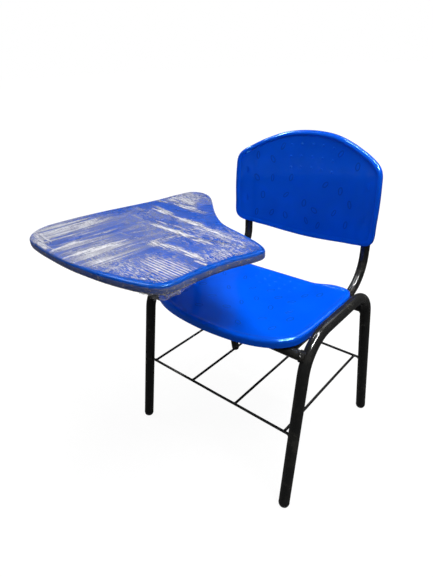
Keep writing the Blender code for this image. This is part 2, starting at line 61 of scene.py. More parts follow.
FRONT_RAKE = 0.1621
REAR_RAKE = -0.1729
FRONT_BEND = 0.086
REAR_BEND = 0.073
STEEL_END = 0.0105
SEAT_TUBE_HEIGHT = 0.3805
REAR_BAR_HEIGHT = SEAT_TUBE_HEIGHT - 2 * TUBE_RADIUS
SEAT_TUBE_FRONT_X = 0.188
SEAT_TUBE_REAR_X = 0.181
BACK_CORNER_Y = 0.2137
BACK_TUBE_BEND = 0.085
BACK_LEAN = radians(2.5)
UPRIGHT_LENGTH = 0.285
RACK_HEIGHT = 0.19
RACK_WIRES_X = (-0.207, -0.069, 0.069, 0.207)
SEAT_FRONT = -0.2055
SEAT_REAR = 0.113
SEAT_HALF_WIDTH = 0.2145
SEAT_SIDE_Z = 0.4185
SEAT_FRONT_FALL = 0.0075
SEAT_REAR_FALL = 0.0105
SEAT_DISH = 0.014
SEAT_BOSS_Y = (-0.09, 0.062)
SHELL_WALL = 0.003
BACK_EDGE_Y = 0.191
BACK_FOOT_Z = 0.51
BACK_HALF_WIDTH = 0.21
BACK_HOLLOW = 0.042
BACK_BOSS_V = (0.05, 0.128)
TABLET_TOP = 0.595
TABLET_THICKNESS = 0.019
TABLET_BOTTOM = TABLET_TOP - TABLET_THICKNESS
TABLET_EDGE_RADIUS = 0.006
FILM_CLEARANCE = 0.0003
FILM_THICKNESS = 0.0004
ARM_HEIGHT = TABLET_TOP - TABLET_THICKNESS - TUBE_RADIUS - FILM_CLEARANCE
ARM_Y_REAR = 0.04
ARM_Y_FRONT = -0.225
ARM_X_END = 0.055
ARM_REAR_BEND = 0.045
ARM_FRONT_BEND = 0.06
STRUT_Y = -0.062
ARM_SCREWS = ((-RAIL_TRACK, -0.018), (-RAIL_TRACK, -0.13), (-0.115, ARM_Y_FRONT), (0.02, ARM_Y_FRONT))

X_AXIS = Vector((1.0, 0.0, 0.0))
Y_AXIS = Vector((0.0, 1.0, 0.0))
Z_AXIS = Vector((0.0, 0.0, 1.0))
BACK_NORMAL = Vector((0.0, -cos(BACK_LEAN), sin(BACK_LEAN)))
SIDES = (("left", 1), ("right", -1))
ENDS = (("front", False), ("rear", True))
SQUARE = ((-1, -1), (1, -1), (1, 1), (-1, 1))


def leg_y(height, rear):
    return FOOT_REACH + REAR_RAKE * height if rear else -FOOT_REACH + FRONT_RAKE * height


def leg_point(side, height, rear):
    """On a leg's axis at a height, or between the two legs where side is 0."""
    track = FLOOR_TRACK + (RAIL_TRACK - FLOOR_TRACK) * height / RAIL_HEIGHT
    return Vector((side * track, leg_y(height, rear), height))


tube_low, tube_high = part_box("cross_tube_front")
tube_middle = (tube_low + tube_high) / 2
OFFSET = Vector((tube_middle.x, tube_middle.y - leg_y(SEAT_TUBE_HEIGHT, False), 0.0))


# ---- node trees
class Field:
    """One output of a shader node: a value that varies over the surface, with arithmetic."""

    def __init__(self, tree, socket):
        self.tree = tree
        self.socket = socket

    def __add__(self, other):
        return self.maths("ADD", other)

    def __sub__(self, other):
        return self.maths("SUBTRACT", other)

    def __mul__(self, other):
        return self.maths("MULTIPLY", other)

    def maths(self, operation, other=0.0):
        return add(self.tree, "Math", {0: self, 1: other}, operation=operation)

    def highest(self, other):
        return self.maths("MAXIMUM", other)

    def ramp(self, low, high, out_low=0.0, out_high=1.0):
        """A smooth step from out_low at low to out_high at high, and level beyond both."""
        values = {"Value": self, "From Min": low, "From Max": high, "To Min": out_low, "To Max": out_high}
        return add(self.tree, "MapRange", values, "Result", interpolation_type="SMOOTHSTEP")

    def mix(self, first, second):
        return add(self.tree, "Mix", {0: self, 2: first, 3: second}, data_type="FLOAT")

    def colours(self, first, second):
        """The first colour where this is 0, the second where it is 1."""
        return add(self.tree, "Mix", {0: self, 6: (*first, 1.0), 7: (*second, 1.0)}, 2, data_type="RGBA")

    def noise(self, scale, detail=3.0, roughness=0.5, distortion=0.0):
        values = {"Vector": self, "Scale": scale, "Detail": detail, "Roughness": roughness,
                  "Distortion": distortion}
        return add(self.tree, "TexNoise", values, "Fac")

    def bump(self, distance, under=None):
        """A surface raised by this times distance, over another bump if one is given."""
        values = {"Height": self, "Distance": distance, "Strength": 1.0}
        if under is not None:
            values["Normal"] = under
        return add(self.tree, "Bump", values, "Normal")

    def scaled(self, x, y, z):
        return add(self.tree, "VectorMath", {0: self, 1: (x, y, z)}, operation="MULTIPLY")

    def turned(self, degrees, along, across, up=1.0):
        """Coordinates turned so that X runs along the given direction, then scaled."""
        spun = add(self.tree, "VectorRotate", {"Vector": self, "Angle": -radians(degrees)},
                   rotation_type="Z_AXIS")
        return spun.scaled(along, across, up)

    def part(self, axis):
        return add(self.tree, "SeparateXYZ", {0: self}, axis)

    def length(self):
        return add(self.tree, "VectorMath", {0: self}, "Value", operation="LENGTH")

    def spot_reach(self, x, y, degrees, half_length, half_width):
        """Distance from a spot's middle, 1 at its edge."""
        away = add(self.tree, "VectorMath", {0: self, 1: (x, y, 0.0)}, operation="SUBTRACT")
        return away.turned(degrees, 1.0 / half_length, 1.0 / half_width, 0.0).length()


def feed(tree, node, values):
    """Set a node's inputs, or link them where the value is a Field."""
    for key, value in values.items():
        if isinstance(value, Field):
            tree.links.new(value.socket, node.inputs[key])
        else:
            node.inputs[key].default_value = value


def add(tree, kind, values=None, output=0, **attributes):
    """One output of a new shader node with the given inputs and attributes."""
    made = tree.nodes.new("ShaderNode" + kind)
    for key, value in attributes.items():
        setattr(made, key, value)
    feed(tree, made, values or {})
    return Field(tree, made.outputs[output])


def start_material(name):
    """A new material, and the object coordinates that its textures are laid out in."""
    material = bpy.data.materials.new(name)
    material.use_nodes = True
    return material, add(material.node_tree, "TexCoord", output="Object")


def finished(material, values):
    feed(material.node_tree, material.node_tree.nodes["Principled BSDF"], values)
    return material


# ---- materials
def moulded_plastic(name, deep, light):
    """Glossy polypropylene: flow clouding, a slow swell, fine orange peel, light scuffs."""
    material, place = start_material(name)
    swell = place.noise(26.0, 1.0).bump(0.0006)
    return finished(material, {
        "Base Color": place.noise(9.0, 2.0).ramp(0.35, 0.65).colours(deep, light),
        "Roughness": place.noise(42.0, 5.0, 0.7).ramp(0.45, 0.75) * 0.07 + 0.13,
        "Normal": place.noise(260.0, 2.0).bump(0.00002, swell),
        "Specular IOR Level": 0.65,
        "Specular Tint": (0.22, 0.72, 1.0, 1.0),
        "Coat Weight": 0.1,
        "Coat Roughness": 0.07})


def enamel(name, colour, worn, roughness=0.17):
    """Baked enamel: orange peel, dust that dulls it in patches, a few runs."""
    material, place = start_material(name)
    dust = place.noise(30.0, 6.0, 0.65).ramp(0.48, 0.72)
    runs = place.noise(45.0, 1.0).bump(0.0001)
    return finished(material, {
        "Base Color": dust.colours(colour, worn),
        "Roughness": dust * 0.16 + roughness,
        "Normal": place.noise(700.0, 1.0).bump(0.000006, runs),
        "Specular IOR Level": 0.4})


def mottled(name, mottle, first, second, smooth, rough, grain, height, rest):
    """Colour and roughness that follow one mottle, under a finer grain; both are (scale, detail)."""
    material, place = start_material(name)
    clouds = place.noise(*mottle)
    return finished(material, {
        "Base Color": clouds.colours(first, second),
        "Roughness": clouds.ramp(0.3, 0.7, smooth, rough),
        "Normal": place.noise(*grain).bump(height)} | rest)


# Where the stretch film is gathered into white folds: middle x and y, direction in degrees, half
# length, half width and strength. The front half was wrapped along the tablet, the rear half across.
ACROSS_PULLS = (
    (-0.262, -0.047, -3, 0.03, 0.007, 1.0), (-0.16, -0.05, -8, 0.066, 0.01, 0.95),
    (-0.215, -0.018, -14, 0.075, 0.026, 0.75), (-0.245, 0.03, -30, 0.05, 0.034, 0.46),
    (-0.215, -0.092, -12, 0.07, 0.005, 0.6), (-0.185, -0.108, -6, 0.046, 0.006, 0.95),
    (-0.075, -0.124, -8, 0.085, 0.01, 1.0), (-0.005, -0.14, -7, 0.055, 0.016, 0.9),
    (0.03, -0.162, -4, 0.06, 0.006, 0.5), (0.06, -0.148, -2, 0.062, 0.006, 0.85),
    (0.04, -0.122, -22, 0.06, 0.006, 0.45), (-0.09, -0.182, -3, 0.084, 0.009, 1.0),
    (-0.215, -0.166, -8, 0.05, 0.005, 0.55), (-0.11, -0.16, -2, 0.056, 0.005, 0.75),
    (0.018, -0.196, -5, 0.028, 0.008, 1.0), (0.085, -0.212, -50, 0.03, 0.012, 0.62),
    (-0.03, -0.253, 3, 0.055, 0.011, 1.0), (0.04, -0.254, -12, 0.06, 0.012, 1.0),
    (0.08, -0.268, -16, 0.03, 0.009, 0.9), (-0.13, -0.256, 2, 0.06, 0.003, 0.4),
    (0.07, -0.3, -4, 0.03, 0.01, 0.6), (0.06, -0.366, 24, 0.046, 0.004, 0.9),
    (-0.26, -0.382, -20, 0.07, 0.016, 0.7))
ALONG_PULLS = (
    (-0.131, -0.338, 79, 0.078, 0.012, 1.0), (-0.195, -0.366, 86, 0.046, 0.009, 0.95),
    (-0.196, -0.275, 82, 0.06, 0.006, 0.6), (-0.135, -0.226, 62, 0.034, 0.004, 0.6),
    (-0.188, -0.198, 52, 0.03, 0.003, 0.55), (-0.291, -0.3, 86, 0.085, 0.011, 0.9),
    (-0.268, -0.26, 86, 0.095, 0.01, 0.62), (-0.238, -0.33, 84, 0.06, 0.007, 0.6),
    (-0.32, -0.31, 84, 0.07, 0.01, 0.7), (-0.255, -0.19, 84, 0.04, 0.012, 0.4),
    (-0.16, -0.35, 80, 0.06, 0.006, 0.55), (-0.09, -0.3, 76, 0.06, 0.006, 0.55),
    (-0.06, -0.225, 60, 0.05, 0.005, 0.6), (-0.02, -0.335, 84, 0.05, 0.02, 0.42))
# Broad haze where the film lies loose: middle, half width across and along, how strong.
HAZE = (
    (-0.28, -0.31, 0.12, 0.15, 0.62), (-0.12, -0.34, 0.16, 0.11, 0.52), (0.02, -0.325, 0.12, 0.09, 0.42),
    (-0.225, 0.015, 0.11, 0.075, 0.46), (0.01, -0.155, 0.15, 0.06, 0.46), (-0.02, -0.255, 0.14, 0.03, 0.45),
    (-0.09, -0.125, 0.1, 0.022, 0.36), (-0.12, -0.205, 0.3, 0.07, 0.34), (0.08, -0.205, 0.07, 0.11, 0.5),
    (-0.21, -0.13, 0.12, 0.05, 0.3), (-0.06, -0.365, 0.17, 0.055, 0.62))
BARE_FILM = 0.06
MOST_FILM = 0.96
FILM_SHEER = (0.36, 0.38, 0.5)
FILM_WHITE = (0.66, 0.66, 0.69)
FILM_GLINT = (0.88, 0.88, 0.9)
# Evenly combed fine folds at the front inner corner, placed as a pull is, and their spacing.
COMB = (0.045, -0.322, -5.0, 0.08, 0.046)
COMB_PITCH = 0.0066
ALONG_ANGLE = 83.0
ACROSS_ANGLE = -7.0


def gathered(place, pulls, degrees):
    """White folds running the given way: long frayed patches broken into fine lines."""
    fray = place.turned(degrees, 22.0, 170.0).noise(1.0, 5.0, 0.72, 0.5)
    push = (fray - 0.5) * 3.0
    total = 0.0
    for x, y, direction, half_length, half_width, strength in pulls:
        reach = place.spot_reach(x, y, direction, half_length, half_width)
        total = (reach + push).ramp(1.2, 0.55, 0.0, strength).highest(total)
    lines = place.turned(degrees, 15.0, 230.0).noise(1.0, 4.0, 0.65, 0.3)
    return total * lines.ramp(0.42, 0.55, 0.12, 1.0), lines, fray


def hazy(place, grain, threads):
    """A thin whitening where the film lies loose: ribbed over the front half, fuzzy elsewhere."""
    haze = BARE_FILM
    for x, y, half_x, half_y, strength in HAZE:
        reach = place.spot_reach(x, y, 0.0, half_x, half_y)
        haze = reach.ramp(1.0, 0.25, BARE_FILM, strength).highest(haze)
    across, along = place.part("X"), place.part("Y")
    bands = place.turned(ALONG_ANGLE, 3.5, 95.0).noise(1.0, 4.0, 0.62, 0.25).ramp(0.46, 0.58)
    ribbed = bands * 0.84 + threads * 0.4 + 0.22
    fuzz = grain.ramp(0.46, 0.57, 0.04, 1.45)
    frayed = fuzz * across.ramp(-0.22, -0.1, 0.2, 0.36) + across.ramp(-0.22, -0.1, 0.0, 0.3)
    front = along.ramp(-0.17, -0.25) * across.ramp(0.02, -0.06)
    speckle = place.noise(430.0, 3.0, 0.7).ramp(0.4, 0.6)
    return haze * (front.mix(fuzz, ribbed.highest(frayed)) * (speckle * 0.36 + 0.82))


def combed(place, grain, fray):
    """The evenly combed folds, with a ragged outline."""
    wave = place.turned(COMB[2], 1.0, 1.0).part("Y") * (2.0 * pi / COMB_PITCH) + fray * 2.2
    ragged = place.spot_reach(*COMB) + (fray - 0.5) * 2.2
    comb = wave.maths("SINE").ramp(-0.1, 0.8, 0.1, 0.95) * ragged.ramp(1.05, 0.35)
    return comb * grain.ramp(0.36, 0.56, 0.72, 1.1)


def crumpled(place, up):
    return place.scaled(70.0, 70.0, up).noise(1.0, 4.0, 0.7, 0.9)


def stretch_film(name):
    """Clear film: nearly invisible where it lies tight, white where it gathers into fine folds."""
    material, place = start_material(name)
    grain = place.turned(ACROSS_ANGLE, 90.0, 380.0).noise(1.0, 5.0, 0.8, 0.1)
    across, across_lines, across_fray = gathered(place, ACROSS_PULLS, ACROSS_ANGLE)
    along, along_lines, along_fray = gathered(place, ALONG_PULLS, ALONG_ANGLE)
    folded = across.highest(along) * grain.ramp(0.34, 0.54, 0.55, 1.15)
    threads = along_lines.ramp(0.52, 0.66).highest(across_lines.ramp(0.56, 0.68))
    top = folded.highest(combed(place, grain, across_fray)).highest(hazy(place, grain, threads))
    # "inwards" is how far a point lies in from the board's edge, or below its top if less than 0.
    inwards = add(place.tree, "Attribute", output="Fac", attribute_name="inwards") + (grain - 0.5) * 0.006
    bare_edge = place.part("X").ramp(-0.16, 0.02).mix(-0.0022, 0.009)
    on_top = (inwards - bare_edge).ramp(0.0, 0.0025)
    crumple = crumpled(place, 190.0)
    wall = inwards.ramp(-0.0035, -0.0065) * crumple.ramp(0.42, 0.74, 0.13, 0.56)
    edge = (on_top * -1.0 + 1.0) * crumple.ramp(0.55, 0.75, 0.0, 0.12)
    folds = along_fray.bump(0.0006, across_fray.bump(0.0006))
    return finished(material, {
        "Alpha": (top * on_top).highest(wall.highest(edge)).maths("MINIMUM", MOST_FILM),
        "Base Color": top.ramp(0.15, 0.9).colours(FILM_SHEER, FILM_WHITE),
        "Roughness": grain.ramp(0.3, 0.7, 0.2, 0.4),
        "Normal": grain.bump(0.0003, folds),
        "Specular IOR Level": 0.14})


def loose_film(name):
    """The same film where it hangs free: crumpled, with white creases in a clear sheet."""
    material, place = start_material(name)
    crumple = crumpled(place, 160.0)
    return finished(material, {
        "Alpha": crumple.ramp(0.42, 0.7, 0.05, 0.48),
        "Base Color": crumple.colours(FILM_WHITE, FILM_GLINT),
        "Roughness": crumple.ramp(0.3, 0.7, 0.15, 0.35),
        "Normal": crumple.bump(0.0006)})


BLUE_PLASTIC = moulded_plastic("moulded_blue_plastic", (0.0001, 0.088, 0.74), (0.0003, 0.1, 0.82))
BLUE_MARK = moulded_plastic("moulded_blue_mark", (0.0001, 0.062, 0.53), (0.0003, 0.072, 0.6))
# The back's plastic and its marks are the seat's blue darkened by a fifth to a quarter: painted shade
# standing in for the upright back getting less light than the seat.
SHADED_BACK_PLASTIC = moulded_plastic("moulded_blue_back_painted_shade", (0.0001, 0.069, 0.58), (0.0003, 0.079, 0.65))
SHADED_BACK_MARK = moulded_plastic("moulded_blue_back_mark_painted_shade", (0.0001, 0.045, 0.38), (0.0003, 0.053, 0.44))
BLUE_BOARD = mottled(
    "blue_foil_board", (18.0, 3.0), (0.0004, 0.062, 0.41), (0.0009, 0.076, 0.48), 0.24, 0.36,
    (700.0, 3.0), 0.00004, {"Specular IOR Level": 0.22, "Specular Tint": (0.3, 0.7, 1.0, 1.0)})
CLEAR_FILM = stretch_film("clear_stretch_film")
CLEAR_TAIL = loose_film("clear_film_loose_end")
BLACK_ENAMEL = enamel("black_baked_enamel", (0.014, 0.0142, 0.0142), (0.032, 0.0302, 0.0264))
WELD_ENAMEL = enamel("black_enamel_on_weld", (0.01, 0.01, 0.01), (0.026, 0.024, 0.02), 0.2)
BLACK_PLASTIC = mottled(
    "black_plug_plastic", (120.0, 4.0), (0.008, 0.008, 0.009), (0.02, 0.02, 0.021), 0.42, 0.6,
    (1800.0, 2.0), 0.00008, {})
ZINC = mottled(
    "zinc_plate", (500.0, 4.0), (0.42, 0.43, 0.44), (0.66, 0.66, 0.64), 0.22, 0.42,
    (4000.0, 1.0), 0.00003, {"Metallic": 1.0})


# ---- mesh helpers
def placed(name, data):
    thing = bpy.data.objects.new(name, data)
    bpy.context.scene.collection.objects.link(thing)
    return thing


def add_object(name, body):
    mesh = bpy.data.meshes.new(name)
    body.to_mesh(mesh)
    body.free()
    return placed(name, mesh)


def facing(point, right, up, back):
    """The place of a lamp or a camera, which look along their own -Z."""
    return Matrix.Translation(OFFSET + point) @ Matrix((right, up, back)).transposed().to_4x4()


def add_piece(name, body, material, nodes=(), sharp=40.0):
    """A finished piece: on the root body, standing for its CAD nodes."""
    bmesh.ops.recalc_face_normals(body, faces=body.faces)
    thing = add_object(name, body)
    thing.data.materials.append(material)
    thing.data.shade_smooth()
    thing.data.set_sharp_from_angle(angle=radians(sharp))
    thing.location = OFFSET
    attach(thing, "root")
    if nodes:
        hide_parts(*nodes)
    return thing


def wander(*where):
    return noise.noise(Vector(where))


def circle(count):
    """The cosine and sine of evenly spaced angles, once round."""
    return [(cos(2 * pi * step / count), sin(2 * pi * step / count)) for step in range(count)]


def neighbours(points):
    """Each point of a loop with the one before and the one after it."""
    return zip(points[-1:] + points[:-1], points, points[1:] + points[:1])


def bent_path(corners, radii, steps=22):
    """Straight runs between the corners, joined by arcs."""
    path = [corners[0]]
    for before, corner, after, radius in zip(corners, corners[1:], corners[2:], radii):
        back = (before - corner).normalized()
        ahead = (after - corner).normalized()
        half_turn = (pi - back.angle(ahead)) / 2
        start = corner + back * radius * tan(half_turn)
        centre = corner + (back + ahead).normalized() * radius / cos(half_turn)
        axis = ahead.cross(back).normalized()
        path += [centre + Matrix.Rotation(2 * half_turn * step / steps, 3, axis) @ (start - centre)
                 for step in range(steps + 1)]
    return path + [corners[-1]]


def bridge(body, low, high):
    for corners in zip(low, low[1:] + low[:1], high[1:] + high[:1], high):
        body.faces.new(corners)


def fan(body, ring, hub):
    for first, second in zip(ring, ring[1:] + ring[:1]):
        body.faces.new((first, second, hub))


def loft(body, loops, closed=False, capped=True):
    """A skin over loops of points, with flat ends or joined round into a ring."""
    rings = [[body.verts.new(point) for point in loop] for loop in loops]
    for low, high in zip(rings, rings[1:] + rings[:1] if closed else rings[1:]):
        bridge(body, low, high)
    if capped and not closed:
        body.faces.new(rings[0])
        body.faces.new(rings[-1])
    return rings


def add_sweep(body, path, radius, sides):
    """A round bar along a path. The radius is a number or a function of the index."""
    side, loops = None, []
    for index, point in enumerate(path):
        tangent = (path[min(index + 1, len(path) - 1)] - path[max(index - 1, 0)]).normalized()
        side = tangent.orthogonal() if side is None else side - tangent * side.dot(tangent)
        side.normalize()
        up = tangent.cross(side)
        reach = radius(index) if callable(radius) else radius
        loops.append([point + (side * x + up * y) * reach for x, y in circle(sides)])
    loft(body, loops)
    return body


def add_weld_ring(body, centre, outwards, main_axis, bar_radius, main_radius, bead, ripples=15):
    """A rippled bead where a bar that runs outwards from a round tube's axis meets its skin."""
    across = outwards.cross(main_axis).normalized()
    other = across.cross(outwards).normalized()
    path = []
    for x, y in circle(72):
        off = across * (bar_radius * x) + other * (bar_radius * y)
        depth = sqrt(max(0.0, main_radius ** 2 - off.dot(across) ** 2))
        path.append(centre + off + outwards * depth)
    middle = sum(path, Vector()) / len(path)
    loops = []
    for index, (before, point, after) in enumerate(neighbours(path)):
        tangent = (after - before).normalized()
        side = point - middle
        side = (side - tangent * side.dot(tangent)).normalized()
        up = tangent.cross(side)
        reach = bead * (1.0 + 0.16 * sin(2 * pi * ripples * index / len(path)))
        loops.append([point + (side * x + up * y) * reach for x, y in circle(10)])
    loft(body, loops, closed=True)


def add_weld_tack(body, centre, axis, half_length, radius):
    """A short fat run of weld, tapered at both ends."""
    shares = [2.0 * step / 14 - 1.0 for step in range(15)]

    def girth(index):
        return radius * sqrt(max(0.02, 1.0 - shares[index] ** 2)) * (1.0 + 0.1 * sin(index * 2.1))
    add_sweep(body, [centre + axis * half_length * share for share in shares], girth, 12)


def add_lathe(body, profile, sides, matrix):
    """A turned body about Z from (radius, height) pairs, set down by the matrix."""
    loft(body, [[matrix @ Vector((radius * x, radius * y, height)) for x, y in circle(sides)]
                for radius, height in profile])
    return body


def standing(point, direction):
    """The place of a body that stands on a point and rises in a direction."""
    return Matrix.Translation(point) @ direction.to_track_quat("Z", "X").to_matrix().to_4x4()


def smoothed(knots, per_span, closed=False):
    """A smooth curve through the knots, ends included."""
    ends = [knots[-1], *knots, *knots[:2]] if closed else [knots[0], *knots, knots[-1]]
    points = []
    for near in zip(ends, ends[1:], ends[2:], ends[3:]):
        before, start, end, after = (Vector(knot) for knot in near)
        for step in range(per_span):
            t = step / per_span
            points.append((2 * start + (end - before) * t
                           + (2 * before - 5 * start + 4 * end - after) * t ** 2
                           + (3 * start - before - 3 * end + after) * t ** 3) / 2)
    return points if closed else points + [Vector(knots[-1])]


def mirrored(half):
    return half + [(-x, y) for x, y in reversed(half[1:-1])]


def inset_loop(points, distance):
    """A loop moved in from its edge by a distance, or by a function of the point."""
    moved = []
    for before, point, after in neighbours(points):
        along = (after - before).normalized()
        reach = distance(point) if callable(distance) else distance
        moved.append(point + Vector((-along.y, along.x)) * reach)
    return moved


def inset_series(points, insets, step=0.0008, ease=0.06):
    """Loops at growing insets, eased a little on the way so that tight corners never fold."""
    loops = []
    current = list(points)
    done = 0.0
    for inset in insets:
        while inset - done > 1e-9:
            move = min(step, inset - done)
            current = [point.lerp((before + after) / 2, ease)
                       for before, point, after in neighbours(inset_loop(current, move))]
            done += move
        loops.append(list(current))
    return loops


def eased(value, low, high):
    share = min(1.0, max(0.0, (value - low) / (high - low)))
    return share * share * (3.0 - 2.0 * share)


# ---- moulded shells
DOT_PITCH = 0.03
DOT_RADIUS = 0.0034
MARK_HALF_LENGTH = 0.0092
MARK_HALF_WIDTH = 0.0036
MARK_LINE = 0.0014
MARK_RISE = 0.00024


def shell(outline, rim, height, rim_share):
    """A moulded shell: rolled rim, then a field that follows height(x, y), all of one wall thickness.

    rim lists (inset, rise) from the free lip inwards; rim_share(x, y) scales how proud the bead is.
    """
    body = bmesh.new()
    edges = inset_series(outline, accumulate((inset for inset, _ in rim), max))
    level = rim[-1][1]
    loops = []
    for loop, (_, rise) in zip(edges, rim):
        bead = max(0.0, rise - level)
        loops.append([(x, y, height(x, y) + min(rise, level) + bead * rim_share(x, y)) for x, y in loop])
    middle = sum(edges[-1], Vector((0.0, 0.0))) / len(outline)
    for step in range(1, 34):
        share = (1.0 - step / 34) ** 0.9
        inner = [middle + (point - middle) * share for point in edges[-1]]
        loops.append([(x, y, height(x, y) + level) for x, y in inner])
    rings = loft(body, loops, capped=False)
    hub = body.verts.new((*middle, height(*middle) + level))
    fan(body, rings[-1], hub)
    bmesh.ops.recalc_face_normals(body, faces=body.faces)
    if hub.normal.z < 0:
        bmesh.ops.reverse_faces(body, faces=body.faces)
    thicken(body)
    return body


def thicken(body):
    """Give an open sheet its wall: a second skin one wall behind it, joined round the edge."""
    body.normal_update()
    skin = list(body.faces)
    border = [tuple(edge.verts) for edge in body.edges if edge.is_boundary]
    twin = {vertex: body.verts.new(vertex.co - vertex.normal * SHELL_WALL)
            for vertex in list(body.verts)}
    for face in skin:
        body.faces.new([twin[vertex] for vertex in reversed(face.verts)])
    for first, second in border:
        body.faces.new((first, second, twin[second], twin[first]))


def dotted(height, level, rows, shift, sag, rise):
    """Rows of five low pimples, sunk a little so that they grow out of the shell."""
    dots = bmesh.new()
    profile = [(DOT_RADIUS * 1.15, -0.0005), (DOT_RADIUS, 0.0)]
    profile += [(DOT_RADIUS * cos(angle), rise * sin(angle)) for angle in (0.35, 0.75, 1.15)]
    profile.append((DOT_RADIUS * 0.08, rise))
    step = 0.001
    for row in rows:
        for column in range(-2, 3):
            x, y = shift + column * DOT_PITCH, row - sag * column * column
            slope_x = (height(x + step, y) - height(x - step, y)) / (2 * step)
            slope_y = (height(x, y + step) - height(x, y - step)) / (2 * step)
            normal = Vector((-slope_x, -slope_y, 1.0)).normalized()
            add_lathe(dots, profile, 16, standing(Vector((x, y, height(x, y) + level)), normal))
    return dots


def marked(height, level, marks):
    """Faint raised oval rings moulded into the shell's face."""
    ovals = bmesh.new()
    profile = ((-MARK_LINE, -0.0006), (-MARK_LINE, -0.00002), (-MARK_LINE * 0.5, MARK_RISE),
               (MARK_LINE * 0.5, MARK_RISE), (MARK_LINE, -0.00002), (MARK_LINE, -0.0006))
    for number, (x, y, degrees) in enumerate(marks):
        half_width = MARK_HALF_WIDTH + 0.0009 * (number % 3)
        spin = Matrix.Rotation(radians(degrees), 2)
        loops = []
        for along, across in circle(28):
            loop = []
            for out, up in profile:
                local = Vector(((MARK_HALF_LENGTH + out) * along, (half_width + out) * across))
                px, py = spin @ local + Vector((x, y))
                loop.append((px, py, height(px, py) + level + up))
            loops.append(loop)
        loft(ovals, loops, closed=True)
    return ovals


def add_texture(name, place, dots, marks, plastic, darker):
    """A shell's dots and marks, set down with it as two pieces of their own."""
    for kind, body, material in (("pimples", dots, plastic), ("ovals", marks, darker)):
        body.transform(place)
        add_piece(f"{name}_{kind}", body, material)


def add_boss(body, matrix, foot, top, radius, lip, sunk):
    """A screw boss that stands on a tube, flared where it runs into the shell."""
    add_lathe(body, [(radius - lip, foot), (radius, foot + 0.0004), (radius + 0.0003, top - 0.003),
                     (radius + 0.0015, top - 0.001), (radius + 0.003, top + sunk)], 28, matrix)


# ---- frame
def upright_point(side, distance):
    """On a back tube's axis, at a distance up from where it would meet the seat tube."""
    return Vector((side * SEAT_TUBE_REAR_X, BACK_CORNER_Y + distance * sin(BACK_LEAN),
                   SEAT_TUBE_HEIGHT + distance * cos(BACK_LEAN)))


def boss_distance(rise):
    """How far up the back tube a boss stands that is so high on the back."""
    return (BACK_FOOT_Z - SEAT_TUBE_HEIGHT) / cos(BACK_LEAN) + rise


def seat_tube_x(y):
    front_y = leg_y(SEAT_TUBE_HEIGHT, False)
    share = (y - front_y) / (BACK_CORNER_Y - front_y)
    return SEAT_TUBE_FRONT_X + (SEAT_TUBE_REAR_X - SEAT_TUBE_FRONT_X) * share


def seat_tube_start(side):
    return Vector((side * SEAT_TUBE_FRONT_X, leg_y(SEAT_TUBE_HEIGHT, False), SEAT_TUBE_HEIGHT))


def add_bar(name, node, path, radius=TUBE_RADIUS, sides=36):
    add_piece(name, add_sweep(bmesh.new(), path, radius, sides), BLACK_ENAMEL, [node])


def make_frame():
    for name, side in SIDES:
        corners = [leg_point(side, STEEL_END, False), leg_point(side, RAIL_HEIGHT, False),
                   leg_point(side, RAIL_HEIGHT, True), leg_point(side, STEEL_END, True)]
        add_bar(f"frame_side_{name}", f"side_frame_{name}", bent_path(corners, (FRONT_BEND, REAR_BEND), 28),
                LEG_RADIUS, 44)
    for (name, rear), height in zip(ENDS, (SEAT_TUBE_HEIGHT, REAR_BAR_HEIGHT)):
        path = [leg_point(side, height, rear) for side in (-1, 0, 1)]
        add_bar(f"cross_bar_{name}", f"cross_tube_{name}", path)
    for name, side in SIDES:
        corners = [seat_tube_start(side), upright_point(side, 0.0), upright_point(side, UPRIGHT_LENGTH)]
        add_bar(f"seat_and_back_tube_{name}", f"back_tube_{name}", bent_path(corners, (BACK_TUBE_BEND,), 30))


def make_plugs():
    """Domed foot plugs with a moulding flash line, and flatter caps in the upper tube ends."""
    dome = [(0.003, -0.0014), (0.0045, -0.0012), (0.0068, -0.0005), (0.0088, 0.0006), (0.0104, 0.0021),
            (0.0115, 0.004), (0.0123, 0.0062), (LEG_RADIUS, 0.0085), (LEG_RADIUS + 0.00015, 0.009),
            (LEG_RADIUS + 0.00015, 0.0096), (LEG_RADIUS, STEEL_END - 0.0004), (0.0112, STEEL_END - 0.0003),
            (0.0112, 0.02)]
    for end, rear in ENDS:
        for name, side in SIDES:
            foot = Vector((side * FLOOR_TRACK, leg_y(0.0, rear), 0.0))
            plug = add_lathe(bmesh.new(), dome, 40, standing(foot, leg_point(side, STEEL_END, rear) - foot))
            for vertex in plug.verts:
                vertex.co.z = max(vertex.co.z, 0.0)
            add_piece(f"foot_{end}_{name}", plug, BLACK_PLASTIC, [f"foot_plug_{end}_{name}"])
    stem = TUBE_RADIUS - TUBE_WALL
    cap = [(stem, -0.01), (stem, -0.0001), (TUBE_RADIUS - 0.0002, 0.0001), (TUBE_RADIUS, 0.0004),
           (TUBE_RADIUS, 0.0018), (TUBE_RADIUS * 0.96, 0.0027), (TUBE_RADIUS * 0.85, 0.0034),
           (TUBE_RADIUS * 0.6, 0.0039), (TUBE_RADIUS * 0.25, 0.004)]
    places = [(f"upright_cap_{name}", f"back_tube_plug_{name}",
               Matrix.Translation(upright_point(side, UPRIGHT_LENGTH)) @ Matrix.Rotation(-BACK_LEAN, 4, "X"))
              for name, side in SIDES]
    arm_end = Matrix.Translation((ARM_X_END, ARM_Y_FRONT, ARM_HEIGHT))
    places.append(("arm_cap", "tablet_arm_plug", arm_end @ Matrix.Rotation(pi / 2, 4, "Y")))
    for name, node, matrix in places:
        add_piece(name, add_lathe(bmesh.new(), cap, 36, matrix), BLACK_PLASTIC, [node])


def add_rod(name, node, start, end, radius, count, sway):
    """A drawn rod that strays a little from straight: sway(share) is its drift there."""
    path = [start.lerp(end, share) + sway(share) * 0.0024 * share * (1.0 - share)
            for share in (step / count for step in range(count + 1))]
    add_bar(name, node, path, radius, 20)


